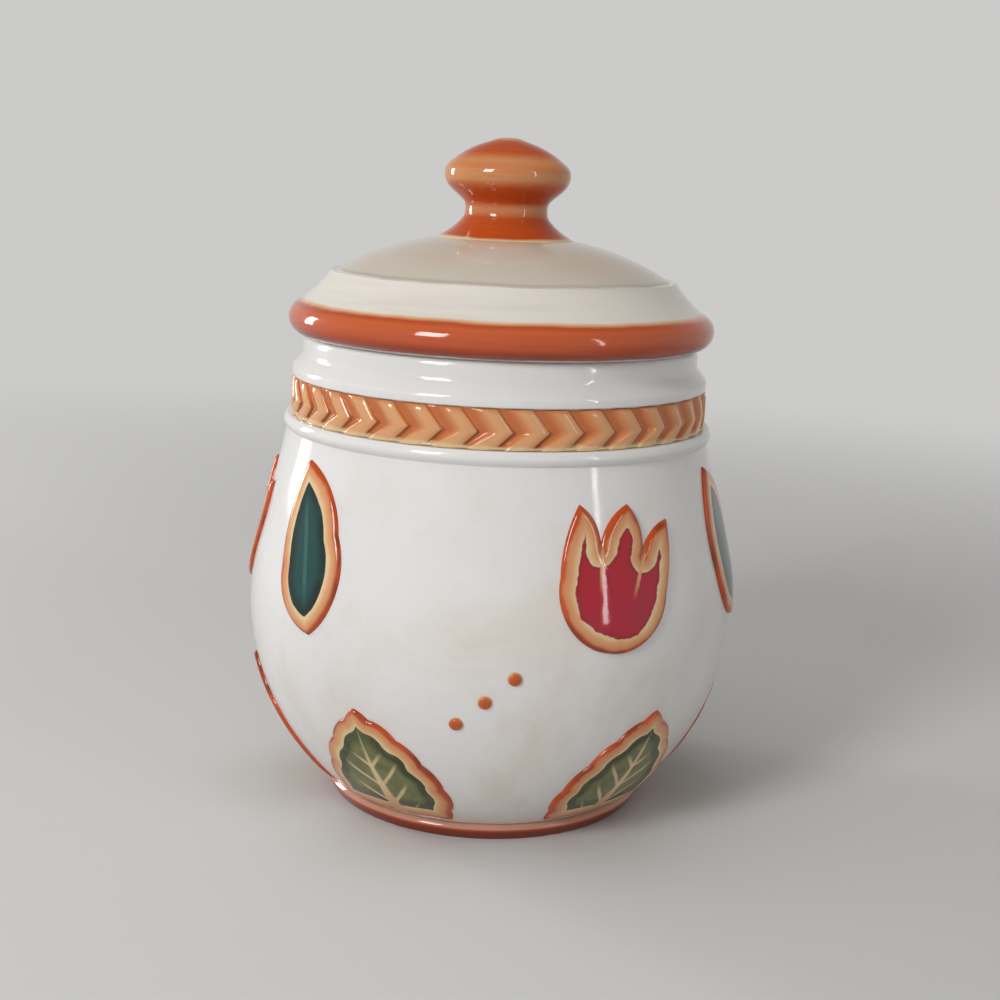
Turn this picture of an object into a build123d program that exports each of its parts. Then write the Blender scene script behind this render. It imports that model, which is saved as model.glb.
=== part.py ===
from build123d import *
from math import asin, cos, radians, sin
import os

# Lidded porcelain jar: a round-bellied pot on a foot ring, with a moulded chevron band under its neck,
# raised leaf and bud ornaments on its wall, and a loose domed lid with a turned knob.
# Lengths are in millimetres and angles in degrees. The origin is the middle of the standing face,
# +Z is up, and the front of the jar faces -Y.

# Foot ring
foot_height = 5.0
foot_width = 7.0
foot_lip = 1.4
foot_lip_height = 1.6
foot_taper = 2.0
foot_round = 0.8

# Bulb of the pot
base_radius = 49.0
belly_radius = 74.3
belly_height = 60.5
belly_round = 16.0
shoulder_height = 113.4
wall = 5.0
floor_thickness = 6.0
floor_round = 8.0

# Neck of the pot, from the shoulder up
neck_radius = 59.4
shoulder_step = 4.4
shoulder_bead_height = 4.1
shoulder_bead_depth = 1.0
band_height = 11.4
band_step = 1.9
collar_bead_height = 2.5
collar_bead_depth = 3.1
collar_bead_round = 0.8
neck_cove_height = 3.8
neck_height = 5.8
rim_round = 2.8
rim_inner_round = 1.2

# Chevron band
strip_thickness = 0.6
chevron_count = 40
chevron_depth = 0.9
chevron_lead = 5.0
chevron_gap = 1.6
chevron_tip_height = 4.8

# Lid
lid_overhang = 4.4
lid_bead_radius = 5.0
lid_bead_wrap = 70
lid_step_inset = 7.9
lid_step_height = 19.0
lid_step_round = 1.0
lid_cone_hollow = 0.5
lid_ledge = 1.2
lid_riser = 0.4
lid_crown_height = 29.8
lid_crown_bulge = 1.6
lid_wall = 5.0

# Locating collar under the lid
collar_clearance = 2.0
collar_thickness = 4.0
collar_depth = 11.0
collar_tuck = 6.0
collar_round = 1.2

# Knob, from its seat on the lid up
knob_seat_radius = 20.3
knob_flare_height = 6.6
knob_flare_hollow = 0.6
knob_waist_radius = 12.1
knob_waist_height = 3.6
knob_waist_bulge = 0.2
knob_cone_height = 3.9
knob_edge_radius = 16.8
knob_under_height = 4.7
knob_radius = 18.9
knob_over_height = 3.3
knob_crown_height = 6.3
knob_crown_bulge = 0.9
button_radius = 4.2
button_height = 0.8
button_round = 0.5

# Raised ornaments on the wall
relief_depth = 1.2
relief_margin = 1.5
bud_width = 34.0
bud_length = 40.0
bud_rise = 3.5
long_leaf_width = 30.0
long_leaf_length = 48.0
long_leaf_rise = 1.5
base_leaf_width = 38.0
base_leaf_length = 44.0
base_leaf_sink = 5.0
dot_radius = 2.0
dot_drops = [16.5, 9.5, 2.5]

# Places round the wall, from the front, positive to the viewer's right, and leans to the viewer's left
ornament_turns = [0, 120, 240]
bud_turn = 26
bud_lean = -12
long_leaf_turn = -42
long_leaf_lean = 20
base_leaf_turns = [-24, 36]
base_leaf_leans = [10, -10]
dot_turns = [-6, 0, 6]

# Arcs of the outlines: start, a point between and end, as shares of half the width and of the length
bud_arc_shares = [
    [(0.00, 0.00), (0.72, 0.12), (1.00, 0.44)],
    [(1.00, 0.44), (1.00, 0.70), (0.86, 0.94)],
    [(0.86, 0.94), (0.58, 0.86), (0.40, 0.68)],
    [(0.40, 0.68), (0.28, 0.88), (0.00, 1.00)],
]
base_leaf_arc_shares = [
    [(0.00, 0.00), (0.80, 0.14), (1.00, 0.42)],
    [(1.00, 0.42), (0.62, 0.78), (0.00, 1.00)],
]
long_leaf_arc_shares = [
    [(0.00, 0.00), (0.84, 0.20), (1.00, 0.52)],
    [(1.00, 0.52), (0.86, 0.80), (0.30, 1.00)],
    [(0.30, 1.00), (-0.30, 0.76), (-0.62, 0.44)],
    [(-0.62, 0.44), (-0.56, 0.18), (0.00, 0.00)],
]

# Sizes worked out from those above
belly_drop = belly_height - foot_height
belly_spread = belly_radius - base_radius
belly_curve = (belly_spread**2 + belly_drop**2) / (2 * belly_spread)
shoulder_radius = neck_radius + shoulder_step
floor_height = foot_height + floor_thickness
band_low = shoulder_height + shoulder_bead_height
band_high = band_low + band_height
band_floor_radius = neck_radius + band_step
collar_bead_radius = neck_radius + collar_bead_depth
collar_bead_top = band_high + collar_bead_height
neck_low = collar_bead_top + neck_cove_height
rim_height = neck_low + neck_height
mouth_radius = neck_radius - wall
collar_outer_radius = mouth_radius - collar_clearance
collar_inner_radius = collar_outer_radius - collar_thickness
collar_top = rim_height + collar_tuck
lid_radius = neck_radius + lid_overhang
lid_step_radius = neck_radius - lid_step_inset
lid_step_level = rim_height + lid_step_height
knob_seat_level = rim_height + lid_crown_height
chevron_pitch = 360 / chevron_count


def at(radius, height):
    """Point of a turned profile, which lies in the XZ plane."""
    return Vector(radius, 0, height)


def bowed(start, end, bulge):
    """Arc between two points of a profile that stands out by bulge on the right of its run."""
    run = end - start
    side = at(run.Z, -run.X) / run.length
    return ThreePointArc(start, (start + end) / 2 + side * bulge, end)


def turned(*edges):
    """Solid of revolution about Z of the closed profile that the edges bound."""
    return revolve(make_face(edges), axis=Axis.Z)


def bulb_side(inset, low, high):
    """Side of the bulb between two heights, inset from the outer wall: a round belly, then a cone."""
    centre = at(belly_radius - belly_curve, belly_height)
    curve = belly_curve - inset
    low_angle = -asin((belly_height - low) / curve)
    join_angle = asin(belly_round / belly_curve)

    def on_curve(angle):
        return centre + at(cos(angle), sin(angle)) * curve

    join = on_curve(join_angle)
    slope = (shoulder_radius - inset - join.X) / (shoulder_height - join.Z)
    top = at(join.X + slope * (high - join.Z), high)
    return [
        ThreePointArc(on_curve(low_angle), on_curve((low_angle + join_angle) / 2), join),
        Line(join, top),
    ]


def neck_side():
    """Outside of the neck: shoulder bead, channel of the band, collar bead, cove and rounded rim."""
    shoulder = at(shoulder_radius, shoulder_height)
    bead_top = at(shoulder_radius, band_low)
    channel_low = at(band_floor_radius, band_low)
    channel_high = at(band_floor_radius, band_high)
    lip_low = at(collar_bead_radius - collar_bead_round, band_high)
    lip_turn = at(collar_bead_radius, band_high + collar_bead_round)
    lip_high = at(collar_bead_radius, collar_bead_top)
    neck_start = at(neck_radius, neck_low)
    cove_middle = (lip_high + neck_start) / 2
    rim_turn = at(neck_radius, rim_height - rim_round)
    rim_top = at(neck_radius - rim_round, rim_height)
    return [
        bowed(shoulder, bead_top, shoulder_bead_depth),
        Line(bead_top, channel_low),
        Line(channel_low, channel_high),
        Line(channel_high, lip_low),
        TangentArc(lip_low, lip_turn, tangent=(1, 0, 0)),
        Line(lip_turn, lip_high),
        TangentArc(lip_high, cove_middle, tangent=(0, 0, 1)),
        TangentArc(neck_start, cove_middle, tangent=(0, 0, -1)),
        Line(neck_start, rim_turn),
        TangentArc(rim_turn, rim_top, tangent=(0, 0, 1)),
    ]


def jar_body():
    """Pot of one casting, open at the mouth."""
    outer = bulb_side(0, foot_height, shoulder_height)
    inner = bulb_side(wall, floor_height, shoulder_height)
    base_middle = at(0, foot_height)
    floor_middle = at(0, floor_height)
    floor_edge = inner[0] @ 0
    throat = inner[1] @ 1
    rim_top = at(neck_radius - rim_round, rim_height)
    rim_inner = at(mouth_radius + rim_inner_round, rim_height)
    mouth_high = at(mouth_radius, rim_height - rim_inner_round)
    mouth_low = at(mouth_radius, band_high)
    profile = make_face(
        [
            Line(base_middle, outer[0] @ 0),
            *outer,
            *neck_side(),
            Line(rim_top, rim_inner),
            TangentArc(rim_inner, mouth_high, tangent=(-1, 0, 0)),
            Line(mouth_high, mouth_low),
            Line(mouth_low, throat),
            *inner,
            Line(floor_edge, floor_middle),
            Line(floor_middle, base_middle),
        ]
    )
    floor_corner = profile.vertices().sort_by_distance(floor_edge)[0]
    return revolve(fillet(floor_corner, floor_round), axis=Axis.Z)


def foot_ring():
    """Turned ring that the pot stands on: a lip under the belly, drawn in towards the table."""
    lip_radius = base_radius + foot_lip
    inner_radius = base_radius - foot_width
    stand_radius = lip_radius - foot_taper
    stand_edge = at(stand_radius - foot_round, 0)
    stand_turn = at(stand_radius, foot_round)
    lip_low = at(lip_radius, foot_height - foot_lip_height)
    lip_high = at(base_radius, foot_height)
    return turned(
        Line(at(inner_radius, 0), stand_edge),
        TangentArc(stand_edge, stand_turn, tangent=(1, 0, 0)),
        Line(stand_turn, lip_low),
        TangentArc(lip_low, lip_high, tangent=(0, 0, 1)),
        Line(lip_high, at(inner_radius, foot_height)),
        Line(at(inner_radius, foot_height), at(inner_radius, 0)),
    )


def chevron(strip_radius):
    """One sideways chevron at the front of the band: a ramp that ends in its raised, pointed edge."""
    pitch = strip_radius * radians(chevron_pitch)
    back = chevron_gap - pitch
    outline = Polyline(
        (0, 0),
        (chevron_lead, chevron_tip_height),
        (0, band_height),
        (back, band_height),
        (back + chevron_lead, chevron_tip_height),
        (back, 0),
        close=True,
    )
    front = Plane(origin=(0, 0, band_low), x_dir=(1, 0, 0), z_dir=(0, -1, 0))
    block = extrude(front * make_face(outline), amount=strip_radius + chevron_depth)
    ramp = Plane(
        origin=(chevron_lead, -strip_radius - chevron_depth, band_low),
        x_dir=(0, 0, 1),
        z_dir=(-chevron_depth, -pitch, 0),
    )
    return split(block, bisect_by=ramp, keep=Keep.BOTTOM)


def chevron_band():
    """Strip in the channel under the neck, with its row of chevrons pointing to the viewer's right."""
    strip_radius = band_floor_radius + strip_thickness
    seat = Pos(0, 0, band_low)
    upright = (Align.CENTER, Align.CENTER, Align.MIN)
    channel = seat * Cylinder(band_floor_radius, band_height, align=upright)
    strip = seat * Cylinder(strip_radius, band_height, align=upright)
    mark = chevron(strip_radius)
    row = [Rot(0, 0, chevron_pitch * place) * mark for place in range(chevron_count)]
    return strip + row - channel


def outline_face(arc_shares, width, length):
    """Face that arcs bound, given as shares of half the width and of the length."""
    arcs = []
    for arc in arc_shares:
        arcs.append(ThreePointArc(*[(across * width / 2, along * length) for across, along in arc]))
    return make_face(arcs)


def both_sides(arc_shares):
    """Arcs of an even outline, from those of its right side."""
    return arc_shares + [[(-across, along) for across, along in arc] for arc in arc_shares]


def relief_shell():
    """Skin of the bulb that the ornaments are cut from."""
    low = foot_height + relief_margin
    high = shoulder_height - relief_margin
    outer = bulb_side(-relief_depth, low, high)
    inner = bulb_side(0, low, high)
    return turned(
        *outer,
        *inner,
        Line(outer[0] @ 0, inner[0] @ 0),
        Line(outer[1] @ 1, inner[1] @ 1),
    )


def on_wall(face, turn, height, lean):
    """Ornament of that outline on the wall, with the outline's origin at a turn and a height."""
    outward = (sin(radians(turn)), -cos(radians(turn)), 0)
    along = (cos(radians(turn)), sin(radians(turn)), 0)
    place = Plane(origin=(0, 0, height), x_dir=along, z_dir=outward)
    reach = belly_radius + 2 * relief_depth
    return extrude(place * Rot(0, 0, lean) * face, amount=reach) & relief_skin


def bud_sprigs():
    face = outline_face(both_sides(bud_arc_shares), bud_width, bud_length)
    low = belly_height + bud_rise
    return [on_wall(face, start + bud_turn, low, bud_lean) for start in ornament_turns]


def long_leaf_sprigs():
    face = outline_face(long_leaf_arc_shares, long_leaf_width, long_leaf_length)
    low = belly_height + long_leaf_rise
    return [on_wall(face, start + long_leaf_turn, low, long_leaf_lean) for start in ornament_turns]


def base_leaf_sprigs():
    face = outline_face(both_sides(base_leaf_arc_shares), base_leaf_width, base_leaf_length)
    low = foot_height - base_leaf_sink
    leaves = []
    for start in ornament_turns:
        for turn, lean in zip(base_leaf_turns, base_leaf_leans):
            leaves.append(on_wall(face, start + turn, low, lean))
    return leaves


def dot_sprigs():
    face = make_face(CenterArc((0, 0), dot_radius, 0, 360))
    dots = []
    for start in ornament_turns:
        for turn, drop in zip(dot_turns, dot_drops):
            dots.append(on_wall(face, start + turn, belly_height - drop, 0))
    return dots


def lid_dome():
    """Shell of the lid: rim bead, hollowed cone, step, and a low crown with a land for the knob."""
    bead_centre = at(lid_radius - lid_bead_radius, rim_height + lid_bead_radius)
    wrap = radians(lid_bead_wrap)
    bead_low = bead_centre - at(0, lid_bead_radius)
    bead_side = bead_centre + at(lid_bead_radius, 0)
    bead_end = bead_centre + at(cos(wrap), sin(wrap)) * lid_bead_radius
    step_edge = at(lid_step_radius, lid_step_level - lid_step_round)
    ledge_edge = at(lid_step_radius - lid_step_round, lid_step_level)
    crown_low = at(ledge_edge.X - lid_ledge, lid_step_level)
    crown_edge = crown_low + at(0, lid_riser)
    land_edge = at(knob_seat_radius, knob_seat_level)
    land_middle = at(0, knob_seat_level)
    ceiling_middle = land_middle - at(0, lid_wall)
    ceiling_edge = land_edge - at(0, lid_wall)
    side_high = at(collar_inner_radius, lid_step_level - lid_wall)
    side_low = at(collar_inner_radius, collar_top)
    tuck_high = at(collar_outer_radius, collar_top)
    tuck_low = at(collar_outer_radius, rim_height)
    return turned(
        Line(tuck_low, bead_low),
        TangentArc(bead_low, bead_side, tangent=(1, 0, 0)),
        TangentArc(bead_side, bead_end, tangent=(0, 0, 1)),
        bowed(bead_end, step_edge, -lid_cone_hollow),
        TangentArc(ledge_edge, step_edge, tangent=(1, 0, 0)),
        Line(ledge_edge, crown_low),
        Line(crown_low, crown_edge),
        bowed(crown_edge, land_edge, lid_crown_bulge),
        Line(land_edge, land_middle),
        Line(land_middle, ceiling_middle),
        Line(ceiling_middle, ceiling_edge),
        bowed(ceiling_edge, side_high, -lid_crown_bulge),
        Line(side_high, side_low),
        Line(side_low, tuck_high),
        Line(tuck_high, tuck_low),
    )


def lid_collar():
    """Ring under the lid that hangs in the mouth and keeps the lid from sliding off."""
    low = rim_height - collar_depth
    outer_turn = at(collar_outer_radius, low + collar_round)
    outer_low = at(collar_outer_radius - collar_round, low)
    inner_low = at(collar_inner_radius + collar_round, low)
    inner_turn = at(collar_inner_radius, low + collar_round)
    return turned(
        Line(at(collar_inner_radius, collar_top), at(collar_outer_radius, collar_top)),
        Line(at(collar_outer_radius, collar_top), outer_turn),
        TangentArc(outer_turn, outer_low, tangent=(0, 0, -1)),
        Line(outer_low, inner_low),
        TangentArc(inner_low, inner_turn, tangent=(-1, 0, 0)),
        Line(inner_turn, at(collar_inner_radius, collar_top)),
    )


def lid_knob():
    """Turned knob: flared foot, ringed waist, cone, rounded girth and a crown with a button."""
    seat = at(knob_seat_radius, knob_seat_level)
    waist_low = at(knob_waist_radius, knob_seat_level + knob_flare_height)
    waist_high = waist_low + at(0, knob_waist_height)
    edge_low = at(knob_edge_radius, waist_high.Z + knob_cone_height)
    girth = at(knob_radius, edge_low.Z + knob_under_height)
    edge_high = at(knob_edge_radius, girth.Z + knob_over_height)
    button_low = at(button_radius, edge_high.Z + knob_crown_height)
    button_turn = button_low + at(0, button_height - button_round)
    button_top = at(button_radius - button_round, button_low.Z + button_height)
    axis_top = at(0, button_top.Z)
    axis_low = at(0, knob_seat_level)
    return turned(
        Line(axis_low, seat),
        bowed(seat, waist_low, -knob_flare_hollow),
        bowed(waist_low, waist_high, knob_waist_bulge),
        Line(waist_high, edge_low),
        TangentArc(girth, edge_low, tangent=(0, 0, -1)),
        TangentArc(girth, edge_high, tangent=(0, 0, 1)),
        bowed(edge_high, button_low, knob_crown_bulge),
        Line(button_low, button_turn),
        TangentArc(button_turn, button_top, tangent=(0, 0, 1)),
        Line(button_top, axis_top),
        Line(axis_top, axis_low),
    )


relief_skin = relief_shell()
nodes = {
    "jar_body": jar_body(),
    "foot_ring": foot_ring(),
    "chevron_band": chevron_band(),
    "bud_sprigs": Compound(children=bud_sprigs()),
    "long_leaf_sprigs": Compound(children=long_leaf_sprigs()),
    "base_leaf_sprigs": Compound(children=base_leaf_sprigs()),
    "dot_sprigs": Compound(children=dot_sprigs()),
    "lid_dome": lid_dome(),
    "lid_collar": lid_collar(),
    "lid_knob": lid_knob(),
}

os.makedirs("parts", exist_ok=True)
for name, shape in nodes.items():
    export_step(shape, f"parts/{name}.step")
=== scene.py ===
from math import asin, atan2, cos, pi, radians, sin, sqrt, tan

import bmesh
import bpy
import numpy as np
from mathutils import Matrix, Vector


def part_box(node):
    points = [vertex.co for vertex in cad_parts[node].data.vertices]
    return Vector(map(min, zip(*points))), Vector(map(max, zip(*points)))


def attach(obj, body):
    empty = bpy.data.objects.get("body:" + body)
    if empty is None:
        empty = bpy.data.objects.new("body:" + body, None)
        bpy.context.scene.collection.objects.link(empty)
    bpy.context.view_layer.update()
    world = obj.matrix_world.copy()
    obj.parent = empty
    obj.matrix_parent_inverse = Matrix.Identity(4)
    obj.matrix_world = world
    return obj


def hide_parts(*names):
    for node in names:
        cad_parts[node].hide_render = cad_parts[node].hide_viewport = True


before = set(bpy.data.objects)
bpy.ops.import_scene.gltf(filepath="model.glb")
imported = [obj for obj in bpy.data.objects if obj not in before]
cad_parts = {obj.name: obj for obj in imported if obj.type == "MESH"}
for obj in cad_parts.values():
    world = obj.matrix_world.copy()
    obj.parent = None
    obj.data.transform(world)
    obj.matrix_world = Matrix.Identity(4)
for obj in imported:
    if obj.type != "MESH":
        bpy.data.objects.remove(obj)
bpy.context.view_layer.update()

# Lidded porcelain jar. Sizes are in millimetres and angles in degrees; the meshes are made in metres.
# Turns go round the jar from its front, which faces -Y, and are positive to the viewer's right.
MM = 0.001


def frame_sizes(node):
    """Reach from the axis, lowest and highest point of a node, to the tenth that its facets allow."""
    low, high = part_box(node)
    return [round(size / MM, 1) for size in (high.x, low.z, high.z)]


# Main sizes, from the frame
foot_lip_radius, _, foot_height = frame_sizes("foot_ring")
belly_radius, _, rim_height = frame_sizes("jar_body")
_, band_low, band_high = frame_sizes("chevron_band")
lid_radius, _, _ = frame_sizes("lid_dome")
collar_outer_radius, collar_low, collar_top = frame_sizes("lid_collar")
knob_seat_radius, knob_seat_height, button_top = frame_sizes("lid_knob")

# Foot ring
foot_lip = 1.4
foot_lip_height = 3.7
foot_taper = 2.0
foot_width = 7.0
foot_top_spread = 0.4
foot_round = 0.9
foot_lip_round = 1.0
foot_top_round = 0.6
corner_round = 0.3

# Bulb of the pot
belly_height = 60.5
belly_round = 16.0
base_edge_round = 0.4
wall_thickness = 5.0
floor_thickness = 6.0
floor_round = 8.0
floor_run_in = 6.0

# Neck of the pot, from the shoulder up
shoulder_round = 1.4
shoulder_run_in = 2.5
shoulder_bead_height = 4.1
shoulder_bead_depth = 1.0
band_step = 1.9
collar_bead_height = 2.5
collar_bead_depth = 3.1
collar_bead_low_round = 0.9
collar_bead_top_round = 2.2
neck_cove_height = 3.8
neck_cove_round = 3.0
rim_round = 2.8
rim_inner_round = 1.4
throat_round = 6.0
throat_run_in = 8.0

# Chevron band
strip_rise = 0.2
strip_sink = 0.5
chevron_count = 40
chevron_depth = 1.2
chevron_lead = 5.0
chevron_tip_share = 0.42
chevron_front_share = 0.64
chevron_front_curve = 2.2
chevron_front_round = 0.65
chevron_top_share = 0.14
chevron_arm_columns = 24
chevron_front_columns = 14
chevron_low_rows = 9
chevron_high_rows = 16
hollow_head_share = 0.42
hollow_foot_share = 0.22
hollow_span_shares = (0.10, 0.52)
hollow_slope_low = 0.45
hollow_slope_high = 1.45
hem_share = 0.05
hem_depth = 0.95

# Lid
lid_overhang = 4.4
lid_bead_radius = 5.0
lid_bead_wrap = 70
lid_cone_hollow = 0.5
lid_step_inset = 7.9
lid_step_rise = 19.0
lid_step_round = 1.3
lid_ledge = 2.2
lid_riser = 0.2
lid_groove_width = 0.6
lid_groove_depth = 0.3
lid_fine_round = 0.5
lid_crown_bulge = 1.6
lid_land_inset = 0.6
lid_wall = 5.0
lid_ceiling_round = 6.0
lid_haunch_round = 4.0
collar_thickness = 4.0
collar_round = 1.4

# Knob, from its seat on the lid up
knob_sink = 0.5
knob_softness = 1.1
knob_flare_height = 6.6
knob_flare_hollow = 0.6
knob_waist_radius = 12.1
knob_waist_height = 3.6
knob_waist_bulge = 0.2
knob_cone_height = 3.9
knob_edge_radius = 16.8
knob_under_height = 4.7
knob_radius = 18.9
knob_over_height = 3.3
knob_crown_bulge = 0.9
button_radius = 4.2
button_height = 0.8
button_crown = 0.1
button_flat_share = 0.85

# Raised ornaments
relief_depth = 1.2
relief_edge = 1.8
relief_hollow = 0.1
relief_sink = 0.5
relief_margin = 1.5
relief_rings = 18
relief_ring_reach = 0.95
relief_ring_power = 1.6
border_width = 4.6
edge_step = 0.6
bud_width = 34.0
bud_length = 40.0
bud_rise = 3.5
bud_turn = 26
bud_lean = -12
bud_middle = (0, 0.26)
long_leaf_width = 30.0
long_leaf_length = 48.0
long_leaf_rise = 1.5
long_leaf_turn = -42
long_leaf_lean = 20
long_leaf_middle = (0.2, 0.48)
base_leaf_width = 38.0
base_leaf_length = 44.0
base_leaf_sink = 5.0
base_leaf_turns = [-24, 36]
base_leaf_leans = [10, -10]
base_leaf_middle = (0, 0.45)
base_leaf_scallops = 13
scallop_reach = 0.9
scallop_step = 0.4
scallop_power = 0.7
dot_radius = 2.0
dot_sides = 32
dot_turns = [-6, 0, 6]
dot_drops = [16.5, 9.5, 2.5]
ornament_sets = 3

# Sizes worked out from those above
base_radius = foot_lip_radius - foot_lip
foot_inner_radius = base_radius - foot_width
foot_stand_radius = foot_lip_radius - foot_taper
floor_height = foot_height + floor_thickness
neck_radius = lid_radius - lid_overhang
mouth_radius = neck_radius - wall_thickness
shoulder_radius = neck_radius + lid_overhang
shoulder_height = band_low - shoulder_bead_height
band_floor_radius = neck_radius + band_step
strip_radius = band_floor_radius + strip_rise
collar_bead_radius = neck_radius + collar_bead_depth
collar_bead_top = band_high + collar_bead_height
neck_low = collar_bead_top + neck_cove_height
collar_inner_radius = collar_outer_radius - collar_thickness
lid_bead_top = rim_height + 2 * lid_bead_radius
lid_step_radius = neck_radius - lid_step_inset
lid_step_height = rim_height + lid_step_rise
lid_crown_radius = lid_step_radius - lid_ledge
knob_waist_low = knob_seat_height + knob_flare_height
knob_waist_high = knob_waist_low + knob_waist_height
knob_edge_low = knob_waist_high + knob_cone_height
knob_girth_height = knob_edge_low + knob_under_height
knob_edge_high = knob_girth_height + knob_over_height
button_low = button_top - button_height
ornament_low = foot_height + relief_margin
belly_drop = belly_height - foot_height
belly_spread = belly_radius - base_radius
belly_curve = (belly_spread**2 + belly_drop**2) / (2 * belly_spread)

# Arcs of the outlines: start, a point between and end, as shares of half the width and of the length
bud_arc_shares = [
    [(0, 0), (0.72, 0.12), (1, 0.44)],
    [(1, 0.44), (1, 0.70), (0.86, 0.94)],
    [(0.86, 0.94), (0.58, 0.86), (0.40, 0.68)],
    [(0.40, 0.68), (0.28, 0.88), (0, 1)],
]
base_leaf_arc_shares = [
    [(0, 0), (0.80, 0.14), (1, 0.42)],
    [(1, 0.42), (0.62, 0.78), (0, 1)],
]
long_leaf_arc_shares = [
    [(0, 0), (0.84, 0.20), (1, 0.52)],
    [(1, 0.52), (0.86, 0.80), (0.30, 1)],
    [(0.30, 1), (-0.30, 0.76), (-0.62, 0.44)],
    [(-0.62, 0.44), (-0.56, 0.18), (0, 0)],
]

# Painted lines of the ornaments, as shares of half the width and of the length
petal_line_start = 0.19
petal_line_slope = 0.30
long_rib_slope = 0.30
long_rib_bend = 0.05
base_rib_end = 0.80
base_rib_taper = 0.16
base_vein_slant = 0.42
base_vein_count = 6.0

# Grain of the glazes: noise scales are per metre, and depths are in metres
wave_scale = 34.0
wave_depth = 0.0009
wave_strength = 0.35
peel_scale = 420.0
peel_depth = 0.00006
peel_strength = 0.25
gloss_scale = 55.0
gloss_range = (0.05, 0.13)
glaze_ior = 1.5
patch_scale = 22.0
fleck_scale = 130.0
belly_stain = 0.44
neck_stain = 0.14
brush_stretch = (0.25, 0.25, 4.0)
under_lid_margin = 0.5

# Glaze colours, linear
WHITE = (0.74, 0.73, 0.72, 1)
BEIGE = (0.64, 0.54, 0.43, 1)
CREAM = (0.71, 0.662, 0.60, 1)
CROWN_BEIGE = (0.56, 0.505, 0.43, 1)
CROWN_SHADE = (0.43, 0.375, 0.31, 1)
CROWN_WARM = (0.60, 0.44, 0.32, 1)
# Besides its own use, the dark terracotta serves as painted shade on the foot and under the lid's bead,
# the light terracotta as painted light near the bead's top, and the salmon as painted light on the
# foot's lip.
TERRACOTTA = (0.45, 0.062, 0.014, 1)
TERRACOTTA_LIGHT = (0.53, 0.11, 0.036, 1)
TERRACOTTA_DARK = (0.20, 0.026, 0.010, 1)
SALMON_LIT_LIP = (0.52, 0.27, 0.185, 1)
KNOB_TAN = (0.58, 0.24, 0.092, 1)
TAN = (0.62, 0.25, 0.095, 1)
TAN_LIGHT = (0.68, 0.34, 0.155, 1)
STRAW = (0.71, 0.54, 0.30, 1)
PEACH = (0.60, 0.24, 0.10, 1)
OCHRE = (0.53, 0.145, 0.038, 1)
ORANGE = (0.50, 0.105, 0.022, 1)
ORANGE_RED = (0.49, 0.070, 0.012, 1)
# The dark orange stands for pooled glaze and painted shade along the chevrons' edges.
ORANGE_DARK = (0.28, 0.074, 0.020, 1)
CRIMSON = (0.42, 0.005, 0.020, 1)
CRIMSON_DARK = (0.28, 0.002, 0.008, 1)
CRIMSON_ROSE = (0.33, 0.015, 0.045, 1)
TEAL = (0.004, 0.054, 0.050, 1)
TEAL_LIGHT = (0.03, 0.11, 0.09, 1)
TEAL_DARK = (0.002, 0.012, 0.009, 1)
GREEN = (0.085, 0.10, 0.030, 1)
GREEN_LIGHT = (0.17, 0.17, 0.060, 1)
GREEN_DARK = (0.030, 0.040, 0.006, 1)


# Profiles: points of (radius, height) in the order of turning

def arc(centre, radius, first, last, steps=12):
    """Points of a circle from one angle to another."""
    angles = np.radians(np.linspace(first, last, steps + 1))
    return [(centre[0] + radius * cos(a), centre[1] + radius * sin(a)) for a in angles]


def bow(start, end, bulge, steps=16):
    """Points of a shallow curve that stands out by bulge on the right of its run, without its ends."""
    run = np.subtract(end, start)
    side = np.array([run[1], -run[0]]) / np.hypot(*run)
    shares = np.linspace(0, 1, steps + 1)[1:-1]
    return [tuple(np.add(start, run * t + side * bulge * 4 * t * (1 - t))) for t in shares]


def rounded(corners, steps=7, most_share=0.49):
    """Points of an outline whose corners (radius, height, round) are eased within their runs."""
    points = [np.array(corner[:2], float) for corner in corners]
    eased = []
    for index, corner in enumerate(corners):
        if len(corner) < 3:
            eased.append(tuple(points[index]))
            continue
        here = points[index]
        back = points[index - 1] - here
        ahead = points[(index + 1) % len(points)] - here
        back_length, ahead_length = np.hypot(*back), np.hypot(*ahead)
        back, ahead = back / back_length, ahead / ahead_length
        half_turn = np.arccos(np.clip(back @ ahead, -1, 1)) / 2
        cut = min(corner[2] / tan(half_turn), most_share * min(back_length, ahead_length))
        for t in np.linspace(0, 1, steps + 1):
            eased.append(tuple(here + back * cut * (1 - t) ** 2 + ahead * cut * t**2))
    return eased


def softened(points, reach, step=0.25, tails=3):
    """Even points of a run with its corners eased over a reach and its ends kept."""
    run = np.array(points)
    lengths = np.concatenate([[0], np.cumsum(np.hypot(*np.diff(run, axis=0).T))])
    places = np.linspace(0, lengths[-1], int(lengths[-1] / step) + 1)
    even = np.stack([np.interp(places, lengths, run[:, side]) for side in (0, 1)], 1)
    half = int(tails * reach / step)
    before = 2 * even[0] - even[half:0:-1]
    after = 2 * even[-1] - even[-2 : -half - 2 : -1]
    padded = np.concatenate([before, even, after])
    weights = np.exp(-0.5 * (np.arange(-half, half + 1) * step / reach) ** 2)
    weights /= weights.sum()
    eased = [np.convolve(padded[:, side], weights, "valid") for side in (0, 1)]
    return [tuple(point) for point in np.stack(eased, 1)]


def wall_radius(height, inset=0.0):
    """Radius of the pot's bulb at a height: a round belly, then a cone up to the shoulder."""
    curve = belly_curve - inset
    join_angle = asin(belly_round / belly_curve)
    join_radius = belly_radius - belly_curve + curve * cos(join_angle)
    join_height = belly_height + curve * sin(join_angle)
    if height < join_height:
        return belly_radius - belly_curve + sqrt(curve**2 - (height - belly_height) ** 2)
    share = (height - join_height) / (shoulder_height - join_height)
    return join_radius + share * (shoulder_radius - inset - join_radius)


def bulb_points(inset, first, last, steps):
    """Side of the bulb between two heights, without its ends."""
    heights = np.linspace(first, last, steps + 1)[1:-1]
    return [(wall_radius(height, inset), height) for height in heights]


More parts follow.
